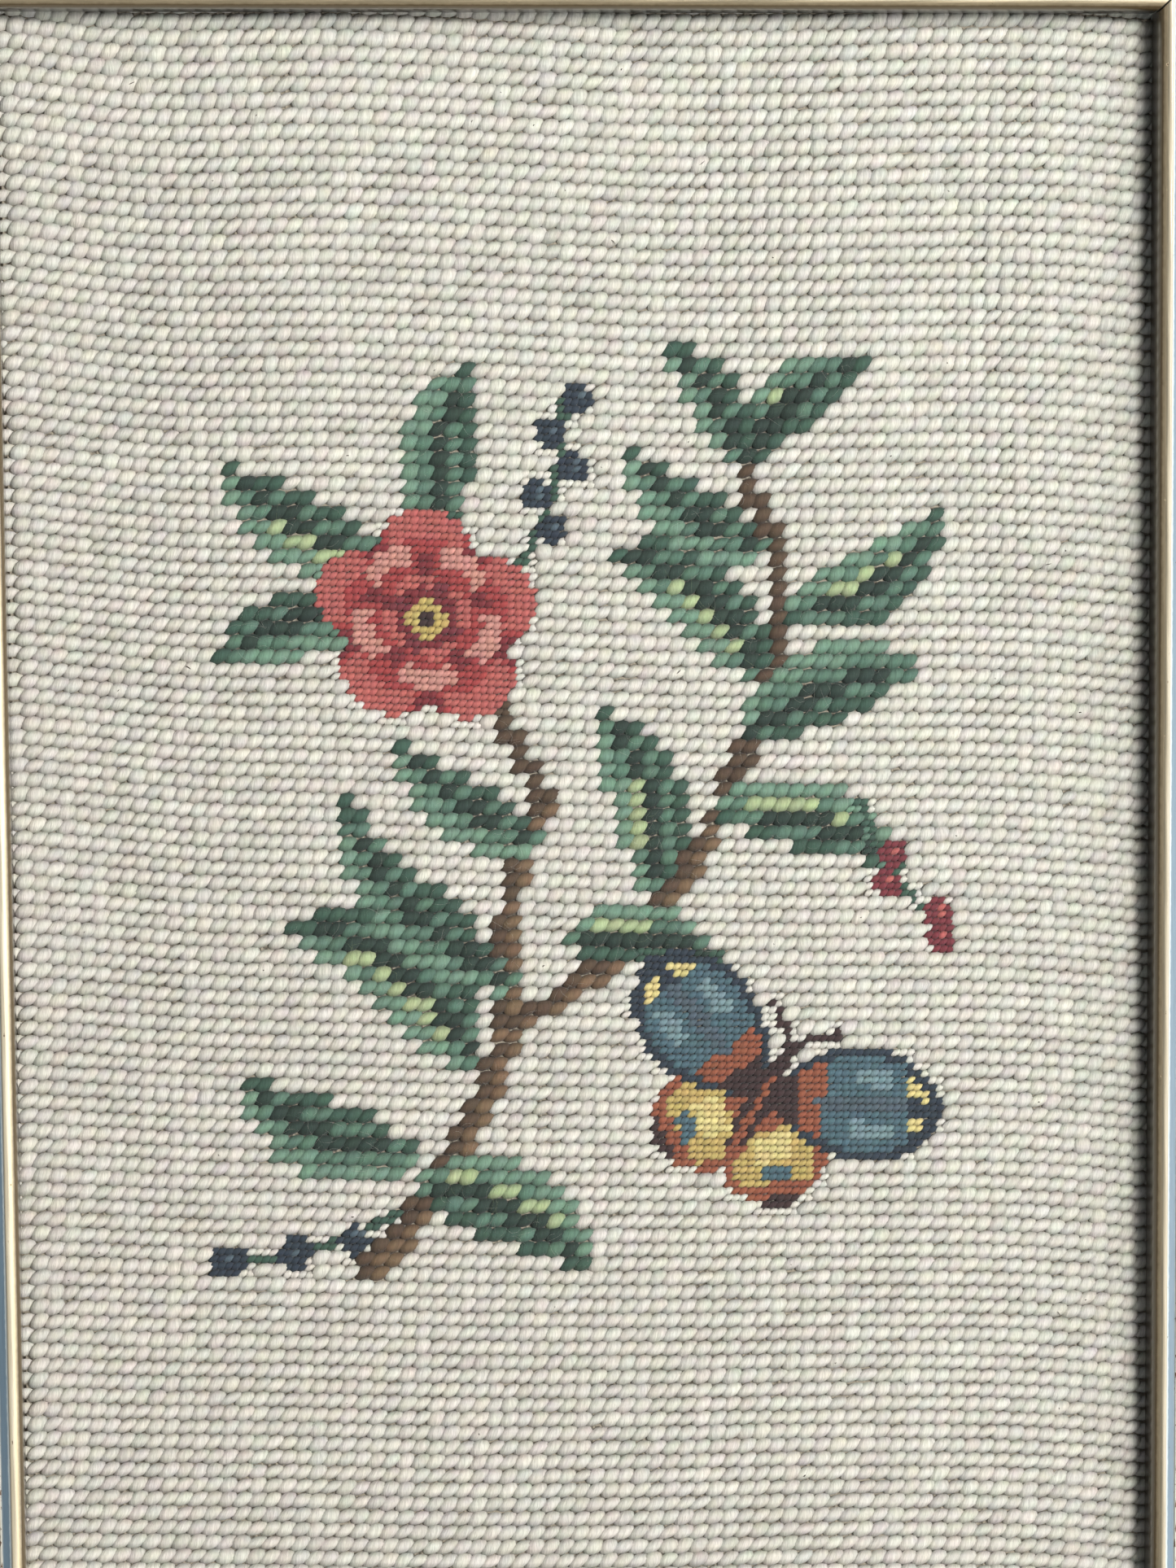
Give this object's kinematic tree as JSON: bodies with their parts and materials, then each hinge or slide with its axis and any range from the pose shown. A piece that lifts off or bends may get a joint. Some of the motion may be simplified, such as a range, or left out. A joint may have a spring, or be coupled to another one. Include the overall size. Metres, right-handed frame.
{
  "type": "framed needlepoint canvas panel",
  "caption": "Rectangular wool needlepoint panel of slanted tent stitches, held flat in a slim mitred picture frame.",
  "frame": {"origin": "on the surface that the frame lies on, under the middle of the frame", "axes": "+Y towards the top of the work, +X to its right, +Z out of its face"},
  "size_m": [0.207, 0.2908, 0.016],
  "materials": {
    "wool": "plump matt wool stitches",
    "painted_wood": "cream and blue-grey gloss paint over a worn bronze sight edge"
  },
  "bodies": {
    "root": {"needlepoint_panel": "wool", "frame_top": "painted_wood", "frame_bottom": "painted_wood", "frame_left": "painted_wood", "frame_right": "painted_wood"}
  },
  "joints": []
}
